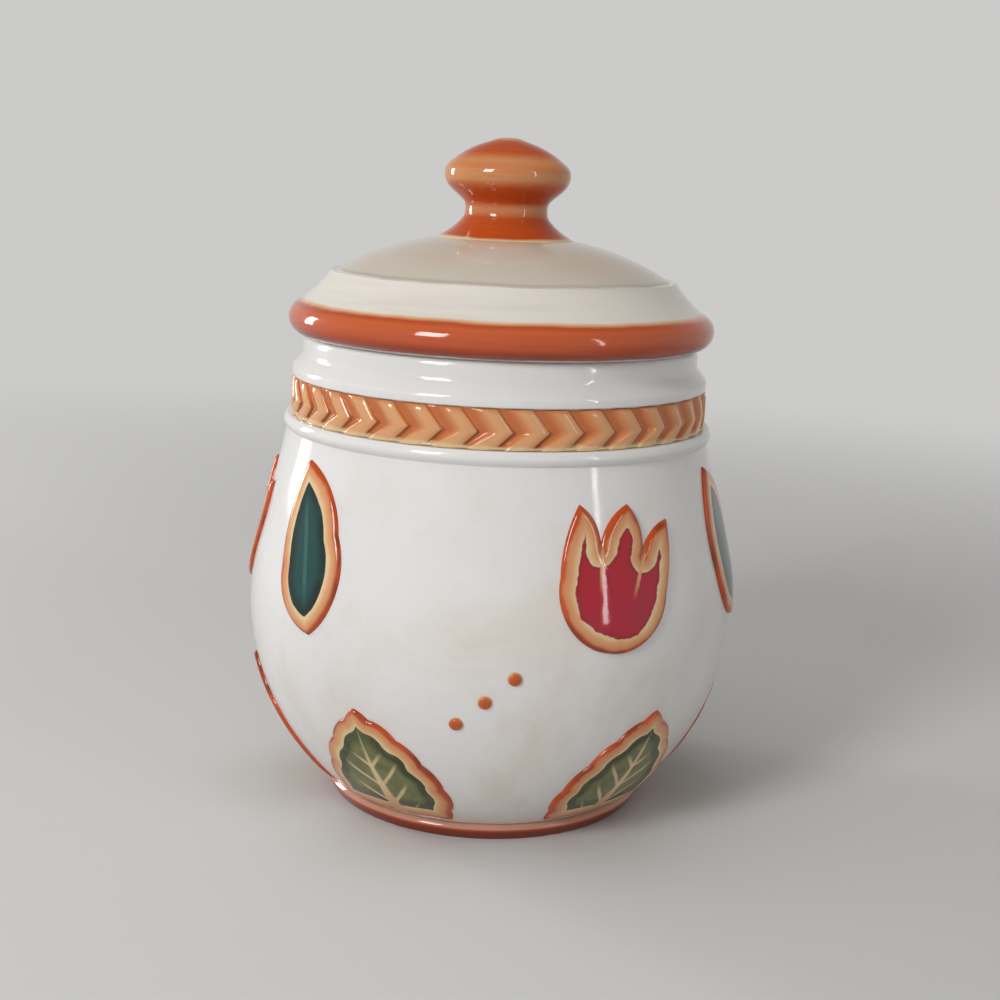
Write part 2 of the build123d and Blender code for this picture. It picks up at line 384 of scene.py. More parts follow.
def pot_profile():
    shoulder = (shoulder_radius, shoulder_height)
    bead_top = (shoulder_radius, band_low)
    throat_radius = shoulder_radius - wall_thickness
    throat_low = shoulder_height - throat_run_in
    floor_radius = wall_radius(floor_height, wall_thickness)
    return rounded(
        [(0, foot_height), (base_radius, foot_height, base_edge_round)]
        + bulb_points(0, foot_height, shoulder_height - shoulder_run_in, steps=64)
        + [(*shoulder, shoulder_round)]
        + bow(shoulder, bead_top, shoulder_bead_depth, steps=10)
        + [(*bead_top, corner_round)]
        + [(band_floor_radius, band_low, corner_round), (band_floor_radius, band_high, corner_round)]
        + [(collar_bead_radius, band_high, collar_bead_low_round)]
        + [(collar_bead_radius, collar_bead_top, collar_bead_top_round)]
        + [(neck_radius, neck_low, neck_cove_round), (neck_radius, rim_height, rim_round)]
        + [(mouth_radius, rim_height, rim_inner_round), (mouth_radius, band_high, throat_round)]
        + [(throat_radius, shoulder_height, throat_round)]
        + bulb_points(wall_thickness, throat_low, floor_height + floor_run_in, steps=48)
        + [(floor_radius, floor_height, floor_round), (0, floor_height)]
    )


def foot_profile():
    return rounded(
        [
            (foot_inner_radius, 0, foot_round),
            (foot_stand_radius, 0, foot_round),
            (foot_lip_radius, foot_lip_height, foot_lip_round),
            (base_radius + foot_top_spread, foot_height, foot_top_round),
            (foot_inner_radius, foot_height, corner_round),
        ]
    )


def lid_profile():
    bead_centre = (lid_radius - lid_bead_radius, rim_height + lid_bead_radius)
    bead = arc(bead_centre, lid_bead_radius, -90, lid_bead_wrap, steps=24)
    step = (lid_step_radius, lid_step_height)
    groove = (lid_crown_radius + lid_groove_width, lid_step_height - lid_groove_depth)
    crown = (lid_crown_radius, lid_step_height + lid_riser)
    land = (knob_seat_radius - lid_land_inset, knob_seat_height)
    ceiling_height = knob_seat_height - lid_wall
    return rounded(
        [(0, ceiling_height), (knob_seat_radius, ceiling_height, lid_ceiling_round)]
        + [(collar_inner_radius, lid_step_height - lid_wall, lid_haunch_round)]
        + [(collar_inner_radius, collar_top), (collar_outer_radius, collar_top)]
        + [(collar_outer_radius, rim_height, lid_fine_round)]
        + bead
        + bow(bead[-1], step, -lid_cone_hollow)
        + [(*step, lid_step_round), (*groove, lid_fine_round), (*crown, lid_fine_round)]
        + bow(crown, land, lid_crown_bulge, steps=24)
        + [land, (0, knob_seat_height)]
    )


def collar_profile():
    return rounded(
        [
            (collar_outer_radius, collar_top, corner_round),
            (collar_inner_radius, collar_top, corner_round),
            (collar_inner_radius, collar_low, collar_round),
            (collar_outer_radius, collar_low, collar_round),
        ]
    )


def girth_arc(height, turn):
    """Points of the knob's rounding between its girth and the edge at a height, on the side of turn."""
    spread = knob_radius - knob_edge_radius
    rise = abs(height - knob_girth_height)
    radius = (spread**2 + rise**2) / (2 * spread)
    reach = turn * np.degrees(asin(rise / radius))
    return arc((knob_radius - radius, knob_girth_height), radius, 0, reach, steps=10)


def knob_profile():
    seat = (knob_seat_radius, knob_seat_height)
    waist_low = (knob_waist_radius, knob_waist_low)
    waist_high = (knob_waist_radius, knob_waist_high)
    under = girth_arc(knob_edge_low, -1)[::-1]
    over = girth_arc(knob_edge_high, 1)[1:]
    button = (button_radius, button_low)
    side = (
        [seat]
        + bow(seat, waist_low, -knob_flare_hollow)
        + [waist_low]
        + bow(waist_low, waist_high, knob_waist_bulge, steps=8)
        + [waist_high]
        + under
        + over
        + bow(over[-1], button, knob_crown_bulge)
        + [button, (button_flat_share * button_radius, button_top - button_crown), (0, button_top)]
    )
    sunk = knob_seat_height - knob_sink
    return [(0, sunk), (knob_seat_radius, sunk)] + softened(side, knob_softness)


# Geometry trees

def new_tree(name, **inputs):
    """Empty geometry tree with a geometry input, the named inputs and a geometry output."""
    tree = bpy.data.node_groups.new(name, "GeometryNodeTree")
    tree.interface.new_socket("Geometry", in_out="INPUT", socket_type="NodeSocketGeometry")
    for label, kind in inputs.items():
        tree.interface.new_socket(label, in_out="INPUT", socket_type=kind)
    tree.interface.new_socket("Geometry", in_out="OUTPUT", socket_type="NodeSocketGeometry")
    return tree


def add(tree, kind, links=None, **settings):
    """New node with its settings and inputs; a node given as an input stands for its first output."""
    node = tree.nodes.new(kind)
    for key, value in settings.items():
        setattr(node, key, value)
    for key, value in (links or {}).items():
        if isinstance(value, bpy.types.Node):
            value = value.outputs[0]
        if isinstance(value, bpy.types.NodeSocket):
            tree.links.new(value, node.inputs[key])
        else:
            node.inputs[key].default_value = value
    return node


def close_tree(tree, geometry, glaze, merge_reach=1e-6):
    """Ends a geometry tree with joined, smooth and glazed geometry."""
    merged = add(tree, "GeometryNodeMergeByDistance", {"Geometry": geometry, "Distance": merge_reach})
    smooth = add(tree, "GeometryNodeSetShadeSmooth", {"Geometry": merged})
    realized = add(tree, "GeometryNodeRealizeInstances", {"Geometry": smooth})
    glazed = add(tree, "GeometryNodeSetMaterial", {"Geometry": realized, "Material": glaze})
    add(tree, "NodeGroupOutput", {"Geometry": glazed})
    return tree


def turning_tree(path_radius=0.01):
    """Turns a profile, drawn in the XZ plane, about the Z axis."""
    tree = new_tree("turned_clay", Segments="NodeSocketInt", Glaze="NodeSocketMaterial")
    given = add(tree, "NodeGroupInput").outputs
    profile = add(tree, "GeometryNodeMeshToCurve", {"Mesh": given["Geometry"]})
    laid = add(
        tree,
        "GeometryNodeTransform",
        {"Geometry": profile, "Translation": (-path_radius, 0, 0), "Rotation": (pi / 2, 0, 0)},
    )
    circle = {"Resolution": given["Segments"], "Radius": path_radius}
    path = add(tree, "GeometryNodeCurvePrimitiveCircle", circle)
    upright = add(tree, "GeometryNodeSetCurveNormal", {"Curve": path}, mode="Z_UP")
    swept = add(tree, "GeometryNodeCurveToMesh", {"Curve": upright, "Profile Curve": laid})
    return close_tree(tree, swept, given["Glaze"])


def ring_tree():
    """Sets copies of a piece round the Z axis at even turns."""
    tree = new_tree("copies_round_axis", Count="NodeSocketInt", Glaze="NodeSocketMaterial")
    given = add(tree, "NodeGroupInput").outputs
    places = add(tree, "GeometryNodeMeshLine", {"Count": given["Count"], "Offset": (0, 0, 0)})
    index = add(tree, "GeometryNodeInputIndex")
    step = add(tree, "ShaderNodeMath", {0: 2 * pi, 1: given["Count"]}, operation="DIVIDE")
    turn = add(tree, "ShaderNodeMath", {0: index, 1: step}, operation="MULTIPLY")
    rotation = add(tree, "ShaderNodeCombineXYZ", {"Z": turn})
    copies = add(
        tree,
        "GeometryNodeInstanceOnPoints",
        {"Points": places, "Instance": given["Geometry"], "Rotation": rotation},
    )
    realized = add(tree, "GeometryNodeRealizeInstances", {"Geometry": copies})
    return close_tree(tree, realized, given["Glaze"])


def plain_mesh(name, verts, faces, edges=()):
    mesh = bpy.data.meshes.new(name)
    mesh.from_pydata(verts, edges, faces)
    return mesh


def placed(name, data):
    """Object in the scene, at the origin."""
    item = bpy.data.objects.new(name, data)
    bpy.context.collection.objects.link(item)
    return item


def shaped(name, mesh, tree, **values):
    """Piece that a geometry tree makes of a mesh, as a plain mesh with its faces outwards."""
    mesh.materials.append(values["Glaze"])
    holder = placed(name + "_source", mesh)
    modifier = holder.modifiers.new("shape", "NODES")
    modifier.node_group = tree
    for item in tree.interface.items_tree:
        if item.in_out == "INPUT" and item.name in values:
            modifier[item.identifier] = values[item.name]
    graph = bpy.context.evaluated_depsgraph_get()
    made = bpy.data.meshes.new_from_object(holder.evaluated_get(graph), depsgraph=graph)
    bpy.data.objects.remove(holder)
    made.name = name
    shell = bmesh.new()
    shell.from_mesh(made)
    bmesh.ops.recalc_face_normals(shell, faces=shell.faces)
    shell.to_mesh(made)
    shell.free()
    return placed(name, made)


def profile_mesh(points, closed):
    """Profile as a line of edges in the XZ plane."""
    count = len(points)
    edges = [(i, i + 1) for i in range(count - 1)] + ([(count - 1, 0)] if closed else [])
    return plain_mesh("profile", [(r * MM, 0, z * MM) for r, z in points], [], edges)


def without_doubles(points, least_gap=1e-4):
    """Points of a profile, with those that repeat the last one left out."""
    kept = [points[0]]
    for point in points[1:]:
        if np.hypot(*np.subtract(point, kept[-1])) > least_gap:
            kept.append(point)
    return kept


turning = turning_tree()
ringing = ring_tree()


def turned(name, points, glaze, closed=False, segments=240):
    mesh = profile_mesh(without_doubles(points), closed)
    return shaped(name, mesh, turning, Segments=segments, Glaze=glaze)


# Chevron band

def eased(value, low, high):
    """Share of the way from low to high, with soft ends."""
    share = np.clip((value - low) / (high - low), 0, 1)
    return share**2 * (3 - 2 * share)


def chevron_rise(along, up):
    """Height share on a chevron: an arm with a rounded front, after a hollow that narrows downwards."""
    head_share = eased(up, *hollow_span_shares)
    hollow = hollow_foot_share + (hollow_head_share - hollow_foot_share) * head_share
    arm = eased(along, hollow_slope_low * hollow, hollow_slope_high * hollow)
    front = np.clip((along - chevron_front_share) / (1 - chevron_front_share), 0, 1)
    return arm * (1 - front**chevron_front_curve) ** chevron_front_round


def chevron_strip(glaze):
    """Row of sideways chevrons that point to the viewer's right, on a thin rolled hem."""
    behind = np.linspace(0, chevron_front_share, chevron_arm_columns)
    front = np.sin(np.linspace(0, pi / 2, chevron_front_columns))[1:]
    columns = np.concatenate([behind, chevron_front_share + (1 - chevron_front_share) * front])
    hem_rows = np.linspace(0, 2 * hem_share, chevron_low_rows)
    below = np.linspace(2 * hem_share, chevron_tip_share, chevron_low_rows)[1:]
    above = np.linspace(chevron_tip_share, 1, chevron_high_rows)[1:]
    rows = np.concatenate([hem_rows, below, above])
    pitch = 2 * pi / chevron_count
    lead = chevron_lead / strip_radius
    verts, places = [], []
    for up in rows:
        tip = min(up / chevron_tip_share, (1 - up) / (1 - chevron_tip_share))
        top_edge = sqrt(np.clip((1 - up) / chevron_top_share, 0, 1))
        hem = hem_depth * sqrt(np.clip(1 - (up / hem_share - 1) ** 2, 0, 1))
        height = band_low + up * (band_high - band_low)
        for along in columns:
            arm = chevron_depth * chevron_rise(along, up) * top_edge
            radius = strip_radius + max(arm, hem)
            if up in (0, 1):
                radius = band_floor_radius - strip_sink
            turn = pitch * along + lead * tip
            verts.append((radius * MM * sin(turn), -radius * MM * cos(turn), height * MM))
            places.append((along, up))
    wide = len(columns)
    faces = []
    for row in range(len(rows) - 1):
        for column in range(wide - 1):
            first = row * wide + column
            faces.append((first, first + 1, first + wide + 1, first + wide))
    top = (len(rows) - 1) * wide
    for column in range(wide - 1):
        faces.append((column + 1, column, top + column, top + column + 1))
    mesh = plain_mesh("chevron", verts, faces)
    layer = mesh.uv_layers.new(name="chevron_place")
    for loop in mesh.loops:
        layer.data[loop.index].uv = places[loop.vertex_index]
    return shaped("chevron_strip", mesh, ringing, Count=chevron_count, Glaze=glaze)


# Raised ornaments

def arc_through(start, between, end, steps=20):
    """Points of the circle's arc through three points, without its end."""
    a, b, c = (np.array(p, float) for p in (start, between, end))
    cross = (b[0] - a[0]) * (c[1] - a[1]) - (b[1] - a[1]) * (c[0] - a[0])
    ab, ac = (b - a) @ (b - a), (c - a) @ (c - a)
    centre_x = (c[1] - a[1]) * ab - (b[1] - a[1]) * ac
    centre_y = (b[0] - a[0]) * ac - (c[0] - a[0]) * ab
    centre = a + np.array([centre_x, centre_y]) / (2 * cross)
    radius = np.hypot(*(a - centre))
    first = atan2(*(a - centre)[::-1])
    sweep = (atan2(*(c - centre)[::-1]) - first) % (2 * pi)
    if cross < 0:
        sweep -= 2 * pi
    angles = first + sweep * np.arange(steps) / steps
    return [tuple(centre + radius * np.array([cos(t), sin(t)])) for t in angles]


def outline(arc_shares, width, length, mirrored=False):
    """Closed outline of arcs, given as shares of half the width and of the length."""
    points = []
    for arc_of_three in arc_shares:
        scaled = [(across * width / 2, along * length) for across, along in arc_of_three]
        points += arc_through(*scaled)
    if mirrored:
        points.append((0.0, length))
        points += [(-across, along) for across, along in points[-2:0:-1]]
    return np.array(points)


def leaned(points, lean):
    """Points turned to the viewer's left by an angle about their origin."""
    c, s = cos(radians(lean)), sin(radians(lean))
    return points @ np.array([[c, s], [-s, c]])


def cut_below(points, level):
    """Outline with what lies below a level cut off."""
    kept = []
    for here, ahead in zip(points, np.roll(points, -1, axis=0)):
        if here[1] >= level:
            kept.append(here)
        if (here[1] - level) * (ahead[1] - level) < 0:
            kept.append(here + (ahead - here) * (level - here[1]) / (ahead[1] - here[1]))
    return np.array(kept)


def evenly(points, step):
    """Closed outline with points at about even steps, corners kept."""
    spread = []
    for here, ahead in zip(points, np.roll(points, -1, axis=0)):
        count = max(1, int(round(np.hypot(*(ahead - here)) / step)))
        spread += [here + (ahead - here) * k / count for k in range(count)]
    return np.array(spread)


def edge_distance(points, edge):
    """Distance of each point from a closed outline."""
    start, run = edge, np.roll(edge, -1, axis=0) - edge
    gap = points[:, None, :] - start[None]
    share = np.clip((gap * run).sum(2) / (run * run).sum(1), 0, 1)
    return np.hypot(*np.moveaxis(gap - share[..., None] * run, 2, 0)).min(1)


def scalloped(points, count):
    """Outline whose edge swells out in rounded lobes with narrow notches between them."""
    ahead, behind = np.roll(points, -1, axis=0), np.roll(points, 1, axis=0)
    along = ahead - behind
    outward = np.stack([along[:, 1], -along[:, 0]], 1) / np.hypot(*along.T)[:, None]
    steps = np.hypot(*(ahead - points).T)
    shares = (np.cumsum(steps) - steps) / steps.sum()
    lobes = np.abs(np.sin(pi * count * shares)) ** scallop_power - 0.5
    return points + outward * scallop_reach * lobes[:, None]


def on_wall(points, heights, turn):
    """Places on the pot's wall of flat points (across, height), raised by their heights."""
    places = []
    for (across, up), raised in zip(points, heights):
        wall = wall_radius(up)
        round_turn = radians(turn) + asin(across / wall)
        reach = (wall + raised) * MM
        places.append((reach * sin(round_turn), -reach * cos(round_turn), up * MM))
    return places


def relief(edge, middle, turn):
    """Vertices, faces, flat places and edge distances of an ornament whose rim sinks into the wall."""
    shares = 1 - np.linspace(0, relief_ring_reach, relief_rings) ** relief_ring_power
    count = len(edge)
    rings = np.concatenate([middle + (edge - middle) * share for share in shares] + [[middle]])
    distance = edge_distance(rings, edge)
    rim = np.clip(distance / relief_edge, 0, 1)
    inside = eased(distance, relief_edge, relief_edge + border_width)
    raised = relief_depth * np.sqrt(1 - (1 - rim) ** 2) - relief_hollow * inside
    front = on_wall(rings, raised, turn)
    back = on_wall(edge, np.full(count, -relief_sink), turn)
    hub = on_wall(middle[None], [-relief_sink], turn)
    first_back, last_ring = len(front), (len(shares) - 1) * count
    faces = []
    for here in range(count):
        after = (here + 1) % count
        for low in range(0, last_ring, count):
            high = low + count
            faces.append((low + here, low + after, high + after, high + here))
        faces.append((last_ring + here, last_ring + after, first_back - 1))
        faces.append((after, here, first_back + here, first_back + after))
        faces.append((first_back + after, first_back + here, first_back + count))
    flat = np.concatenate([rings, edge, [middle]])
    return front + back + hub, faces, flat, np.append(distance, np.zeros(count + 1))


def sprig(outer, size, middle_share, low, turn, lean):
    """Relief of a leaning outline on the wall, with each point's shares of half width and length."""
    base = np.array([0, low])
    half_size = np.array(size) / (2, 1)
    edge = evenly(cut_below(leaned(outer, lean) + base, ornament_low), edge_step)
    centre = leaned((half_size * middle_share)[None], lean)[0] + base
    verts, faces, flat, distance = relief(edge, centre, turn)
    shares = leaned(flat - base, -lean) / half_size
    return verts, faces, np.column_stack([shares, distance])


def ornament(name, reliefs, glaze):
    """Piece of several reliefs, repeated round the pot, that carries their paint places."""
    verts, faces, places = [], [], []
    for one_verts, one_faces, one_places in reliefs:
        faces += [tuple(len(verts) + vert for vert in face) for face in one_faces]
        verts += one_verts
        places.append(one_places)
    mesh = plain_mesh(name, verts, faces)
    paint_place = mesh.attributes.new("paint_place", "FLOAT_VECTOR", "POINT")
    paint_place.data.foreach_set("vector", np.concatenate(places).ravel())
    return shaped(name, mesh, ringing, Count=ornament_sets, Glaze=glaze)


def buds(glaze):
    size = (bud_width, bud_length)
    outer = outline(bud_arc_shares, *size, mirrored=True)
    low = belly_height + bud_rise
    one = sprig(outer, size, bud_middle, low, bud_turn, bud_lean)
    return ornament("buds", [one], glaze)


def long_leaves(glaze):
    size = (long_leaf_width, long_leaf_length)
    outer = outline(long_leaf_arc_shares, *size)
    low = belly_height + long_leaf_rise
    one = sprig(outer, size, long_leaf_middle, low, long_leaf_turn, long_leaf_lean)
    return ornament("long_leaves", [one], glaze)


def base_leaves(glaze):
    size = (base_leaf_width, base_leaf_length)
    smooth = outline(base_leaf_arc_shares, *size, mirrored=True)
    outer = scalloped(evenly(smooth, scallop_step), base_leaf_scallops)
    low = foot_height - base_leaf_sink
    pair = []
    for turn, lean in zip(base_leaf_turns, base_leaf_leans):
        pair.append(sprig(outer, size, base_leaf_middle, low, turn, lean))
    return ornament("base_leaves", pair, glaze)


def dots(glaze):
    angles = np.linspace(0, 2 * pi, dot_sides, endpoint=False)
    ring = dot_radius * np.stack([np.cos(angles), np.sin(angles)], 1)
    size = (2 * dot_radius, 2 * dot_radius)
    row = []
    for turn, drop in zip(dot_turns, dot_drops):
        row.append(sprig(ring, size, (0, 0), belly_height - drop, turn, lean=0))
    return ornament("dots", row, glaze)


# Glazes

def mix(tree, factor, first, second):
    node = add(tree, "ShaderNodeMix", {0: factor, 6: first, 7: second}, data_type="RGBA")
    return node.outputs[2]


def math(tree, operation, first, second=0.0, clamp=False):
    node = add(tree, "ShaderNodeMath", {0: first, 1: second}, operation=operation, use_clamp=clamp)
    return node.outputs["Value"]


def times(tree, first, second, clamp=False):
    return math(tree, "MULTIPLY", first, second, clamp)


def object_coords(tree, factors=(1, 1, 1)):
    """Place on the piece, scaled along each axis."""
    inputs = {0: add(tree, "ShaderNodeTexCoord").outputs["Object"], 1: factors}
    return add(tree, "ShaderNodeVectorMath", inputs, operation="MULTIPLY").outputs["Vector"]


def noise(tree, scale, detail=3.0, roughness=0.5, distortion=0.0, coords=None):
    inputs = {"Vector": coords or object_coords(tree), "Scale": scale, "Detail": detail}
    inputs.update({"Roughness": roughness, "Distortion": distortion})
    return add(tree, "ShaderNodeTexNoise", inputs).outputs["Fac"]


def spread(tree, value, low, high, out_low=0.0, out_high=1.0):
    """Value mapped from one range to another with soft ends."""
    inputs = {"Value": value, 1: low, 2: high, 3: out_low, 4: out_high}
    node = add(tree, "ShaderNodeMapRange", inputs, interpolation_type="SMOOTHSTEP")
    return node.outputs["Result"]


def fall(tree, value, low, high, top=1.0):
    """Mask that falls from its top to nothing over a range."""
    return spread(tree, value, low, high, top, 0.0)


def ramp(tree, value, stops):
    """Colour by a value in real sizes: stops are (size, colour)."""
    low, high = stops[0][0], stops[-1][0]
    share = add(tree, "ShaderNodeMapRange", {"Value": value, 1: low, 2: high})
    node = add(tree, "ShaderNodeValToRGB", {"Fac": share})
    elements = node.color_ramp.elements
    while len(elements) < len(stops):
        elements.new(0.5)
    for element, (size, colour) in zip(elements, stops):
        element.position = (size - low) / (high - low)
        element.color = colour
    return node.outputs["Color"]


def cleared_tree(owner):
    """Empty node tree of a material or world."""
    owner.use_nodes = True
    owner.node_tree.nodes.clear()
    return owner.node_tree


def glaze(name, paint):
    """Glossy fired glaze over a painted colour, with slow waves and a fine peel in its surface."""
    material = bpy.data.materials.new(name)
    tree = cleared_tree(material)
    waves = noise(tree, wave_scale, detail=2.0)
    peel = noise(tree, peel_scale, detail=2.0)
    wave_inputs = {"Height": waves, "Distance": wave_depth, "Strength": wave_strength}
    peel_inputs = {"Height": peel, "Distance": peel_depth, "Strength": peel_strength}
    peel_inputs["Normal"] = add(tree, "ShaderNodeBump", wave_inputs)
    gloss = noise(tree, gloss_scale, detail=4.0)
    shader = add(
        tree,
        "ShaderNodeBsdfPrincipled",
        {
            "Base Color": paint(tree),
            "Roughness": spread(tree, gloss, 0.3, 0.7, *gloss_range),
            "IOR": glaze_ior,
            "Normal": add(tree, "ShaderNodeBump", peel_inputs),
        },
    )
    add(tree, "ShaderNodeOutputMaterial", {"Surface": shader})
    return material


def mottled(tree, ground, stain, amount):
    """Ground colour with faint patches and flecks, stained by an amount that may be a socket."""
    patches = noise(tree, patch_scale, detail=6.0, roughness=0.6, distortion=0.5)
    patched = mix(tree, spread(tree, patches, 0.46, 0.68, out_high=amount), ground, stain)
    flecks = noise(tree, fleck_scale, detail=4.0, roughness=0.6)
    half = times(tree, amount, 0.5)
    return mix(tree, spread(tree, flecks, 0.5, 0.8, out_high=half), patched, stain)


def axis_height(tree):
    """Height above the table in millimetres."""
    node = add(tree, "ShaderNodeSeparateXYZ", {"Vector": object_coords(tree)})
    return times(tree, node.outputs["Z"], 1 / MM)


def axis_distance(tree):
    """Distance from the jar's axis in millimetres."""
    flat = object_coords(tree, (1, 1, 0))
    node = add(tree, "ShaderNodeVectorMath", {0: flat}, operation="LENGTH")
    return times(tree, node.outputs["Value"], 1 / MM)


def hand_shaken(tree, value, amount, scale=60.0):
    """Value with the unsteady edge of a brush."""
    shake = math(tree, "SUBTRACT", noise(tree, scale), 0.5)
    return math(tree, "ADD", times(tree, shake, amount), value)


def streaks(tree, scale):
    """Noise drawn out round the axis, as a brush leaves it on a turning wheel."""
    return noise(tree, scale, detail=4.0, roughness=0.6, coords=object_coords(tree, brush_stretch))


def white_paint(tree):
    """White glaze that is stained on the belly and cleaner on the neck."""
    amount = spread(tree, axis_height(tree), belly_height, band_high, belly_stain, neck_stain)
    return mottled(tree, WHITE, BEIGE, amount)


def foot_paint(tree):
    # The foot's terracotta is painted dark on its lower part as painted shade, and salmon on its top
    # lip as painted light.
    height = hand_shaken(tree, axis_height(tree), amount=0.8)
    stops = [
        (0.0, TERRACOTTA_DARK),
        (foot_lip_height - 1.3, TERRACOTTA_DARK),
        (foot_lip_height - 0.4, TERRACOTTA),
        (foot_lip_height + 0.2, SALMON_LIT_LIP),
        (foot_height, SALMON_LIT_LIP),
    ]
    return ramp(tree, height, stops)


def under_lid(tree):
    """Mask of the lid's hollow: within the collar and below the middle of the crown's wall."""
    slope = (knob_seat_height - lid_step_height) / (collar_inner_radius - knob_seat_radius)
    middle = lid_step_height - lid_wall / 2 + slope * collar_inner_radius
    radius = axis_distance(tree)
    level = math(tree, "ADD", axis_height(tree), times(tree, radius, slope))
    within_collar = math(tree, "LESS_THAN", radius, collar_inner_radius + under_lid_margin)
    return times(tree, within_collar, math(tree, "LESS_THAN", level, middle))


def lid_paint(tree):
    """Terracotta bead, painted darker underneath as painted shade and lighter near its top as painted
    light, cream cone, a darker line at the step that is partly pooled glaze and partly painted shade,
    and warmer crown, brushed on the wheel; white underneath.
    """
    height = hand_shaken(tree, axis_height(tree), amount=0.9)
    stops = [
        # Low on the bead the dark terracotta is painted shade and the lighter band near its top is
        # painted light; the darker stop just above the step is partly pooled glaze and partly painted
        # shade.
        (rim_height + 0.2, WHITE),
        (rim_height + 0.9, TERRACOTTA_DARK),
        (rim_height + 3.5, TERRACOTTA),
        (lid_bead_top - 1.8, TERRACOTTA_LIGHT),
        (lid_bead_top - 0.6, TERRACOTTA),
        (lid_bead_top, TAN_LIGHT),
        (lid_bead_top + 0.7, CREAM),
        (lid_step_height - 0.3, CREAM),
        (lid_step_height + 0.2, CROWN_SHADE),
        (lid_step_height + 1.0, CROWN_BEIGE),
        (knob_seat_height, CROWN_BEIGE),
    ]
    on_cone = spread(tree, height, lid_bead_top, lid_bead_top + 0.8)
    on_crown = spread(tree, height, lid_step_height, lid_step_height + 5.0, out_high=0.7)
    clouds = noise(tree, scale=20.0, detail=5.0, roughness=0.6, distortion=0.4)
    clouded = times(tree, on_crown, spread(tree, clouds, 0.44, 0.66))
    warmed = mix(tree, clouded, ramp(tree, height, stops), CROWN_WARM)
    strokes = spread(tree, streaks(tree, scale=70.0), 0.45, 0.7, out_high=0.36)
    brushed = mix(tree, strokes, warmed, mix(tree, on_cone, TERRACOTTA_LIGHT, CROWN_BEIGE))
    return mix(tree, under_lid(tree), brushed, white_paint(tree))


def knob_paint(tree):
    height = hand_shaken(tree, axis_height(tree), amount=1.3)
    stops = [
        (knob_seat_height + 0.1, STRAW),
        (knob_seat_height + 0.7, ORANGE_RED),
        (knob_waist_low - 0.6, ORANGE_RED),
        (knob_waist_low + 1.4, KNOB_TAN),
        (knob_waist_high - 1.4, KNOB_TAN),
        (knob_waist_high + 0.3, ORANGE_RED),
        (knob_edge_low + 0.6, ORANGE_RED),
        (knob_edge_low + 2.8, KNOB_TAN),
        (knob_edge_high + 0.4, KNOB_TAN),
        (knob_edge_high + 2.8, ORANGE_RED),
        (button_low - 0.3, ORANGE_RED),
        (button_low + 0.3, TAN_LIGHT),
    ]
    strokes = spread(tree, streaks(tree, scale=90.0), 0.42, 0.72, out_high=0.45)
    return mix(tree, strokes, ramp(tree, height, stops), ORANGE)


def band_paint(tree):
    """Tan chevrons with orange pooled in the hollows, dark brown under the points along the edges that
    is partly pooled glaze and partly painted shade, and a pale lower hem.
    """
    place = add(tree, "ShaderNodeUVMap", uv_map="chevron_place")
    split = add(tree, "ShaderNodeSeparateXYZ", {"Vector": place}).outputs
    along = hand_shaken(tree, split["X"], amount=0.16, scale=120.0)
    up = hand_shaken(tree, split["Y"], amount=0.20, scale=110.0)
    hollow = spread(tree, up, *hollow_span_shares, hollow_foot_share, hollow_head_share)
    stops = [(0.0, OCHRE), (0.55, OCHRE), (1.1, TAN), (1.5, TAN_LIGHT), (4.0, TAN_LIGHT)]
    ground = ramp(tree, math(tree, "DIVIDE", along, hollow), stops)
    edged = mix(tree, spread(tree, along, 0.90, 0.99), ground, OCHRE)
    # Dark brown along both sides of each edge in the lower half: partly pooled glaze, partly painted
    # shade under the points.
    near_edge = math(tree, "ADD", fall(tree, along, 0.0, 0.14), spread(tree, along, 0.94, 1.0))
    pooled_glaze_and_shade = times(tree, fall(tree, up, 0.40, 0.54), near_edge, clamp=True)
    edges_pooled_and_shaded = mix(tree, pooled_glaze_and_shade, edged, ORANGE_DARK)
    hemmed = mix(tree, fall(tree, up, 1.4 * hem_share, 3.0 * hem_share, top=0.8), edges_pooled_and_shaded, STRAW)
    return mix(tree, spread(tree, up, 0.82, 1.0, out_high=0.6), hemmed, OCHRE)


def paint_place(tree):
    """Place of a point on its ornament: share of half width, share of length, edge distance."""
    place = add(tree, "ShaderNodeAttribute", attribute_name="paint_place").outputs["Vector"]
    split = add(tree, "ShaderNodeSeparateXYZ", {"Vector": place}).outputs
    return split["X"], split["Y"], split["Z"]


def bordered(tree, distance, fills, wash, shake=1.0):
    """Border brushed from red-brown to straw, round a torn-edged fill with a second wash over it."""
    swayed = hand_shaken(tree, distance, amount=3.4, scale=55.0)
    brushed = hand_shaken(tree, swayed, amount=1.4, scale=190.0)
    stops = [
        (0.0, ORANGE_RED),
        (0.20 * border_width, ORANGE_RED),
        (0.36 * border_width, PEACH),
        (0.68 * border_width, TAN_LIGHT),
        (0.96 * border_width, STRAW),
    ]
    touches = spread(tree, noise(tree, scale=62.0, detail=2.0), 0.50, 0.62, out_high=0.75)
    touched = times(tree, touches, fall(tree, distance, 0.4, 1.7))
    edged = mix(tree, touched, ramp(tree, brushed, stops), TERRACOTTA_DARK)
    torn = hand_shaken(tree, distance, shake, scale=140.0)
    inside = math(tree, "SUBTRACT", torn, border_width)
    patches = noise(tree, scale=85.0, detail=5.0, roughness=0.65, distortion=0.8)
    washed = spread(tree, patches, 0.42, 0.66, out_high=0.75)
    fill = mix(tree, washed, ramp(tree, inside, fills), wash)
    return mix(tree, spread(tree, inside, -0.12, 0.12), edged, fill)


def fine_line(tree, value, half_width):
    """Mask of a thin line where a value passes zero."""
    return fall(tree, math(tree, "ABSOLUTE", value), 0.5 * half_width, 1.5 * half_width)


def within(tree, value, low, high, fade):
    """Mask of a range, with soft ends."""
    rise = spread(tree, value, low - fade, low + fade)
    return times(tree, rise, fall(tree, value, high - fade, high + fade))


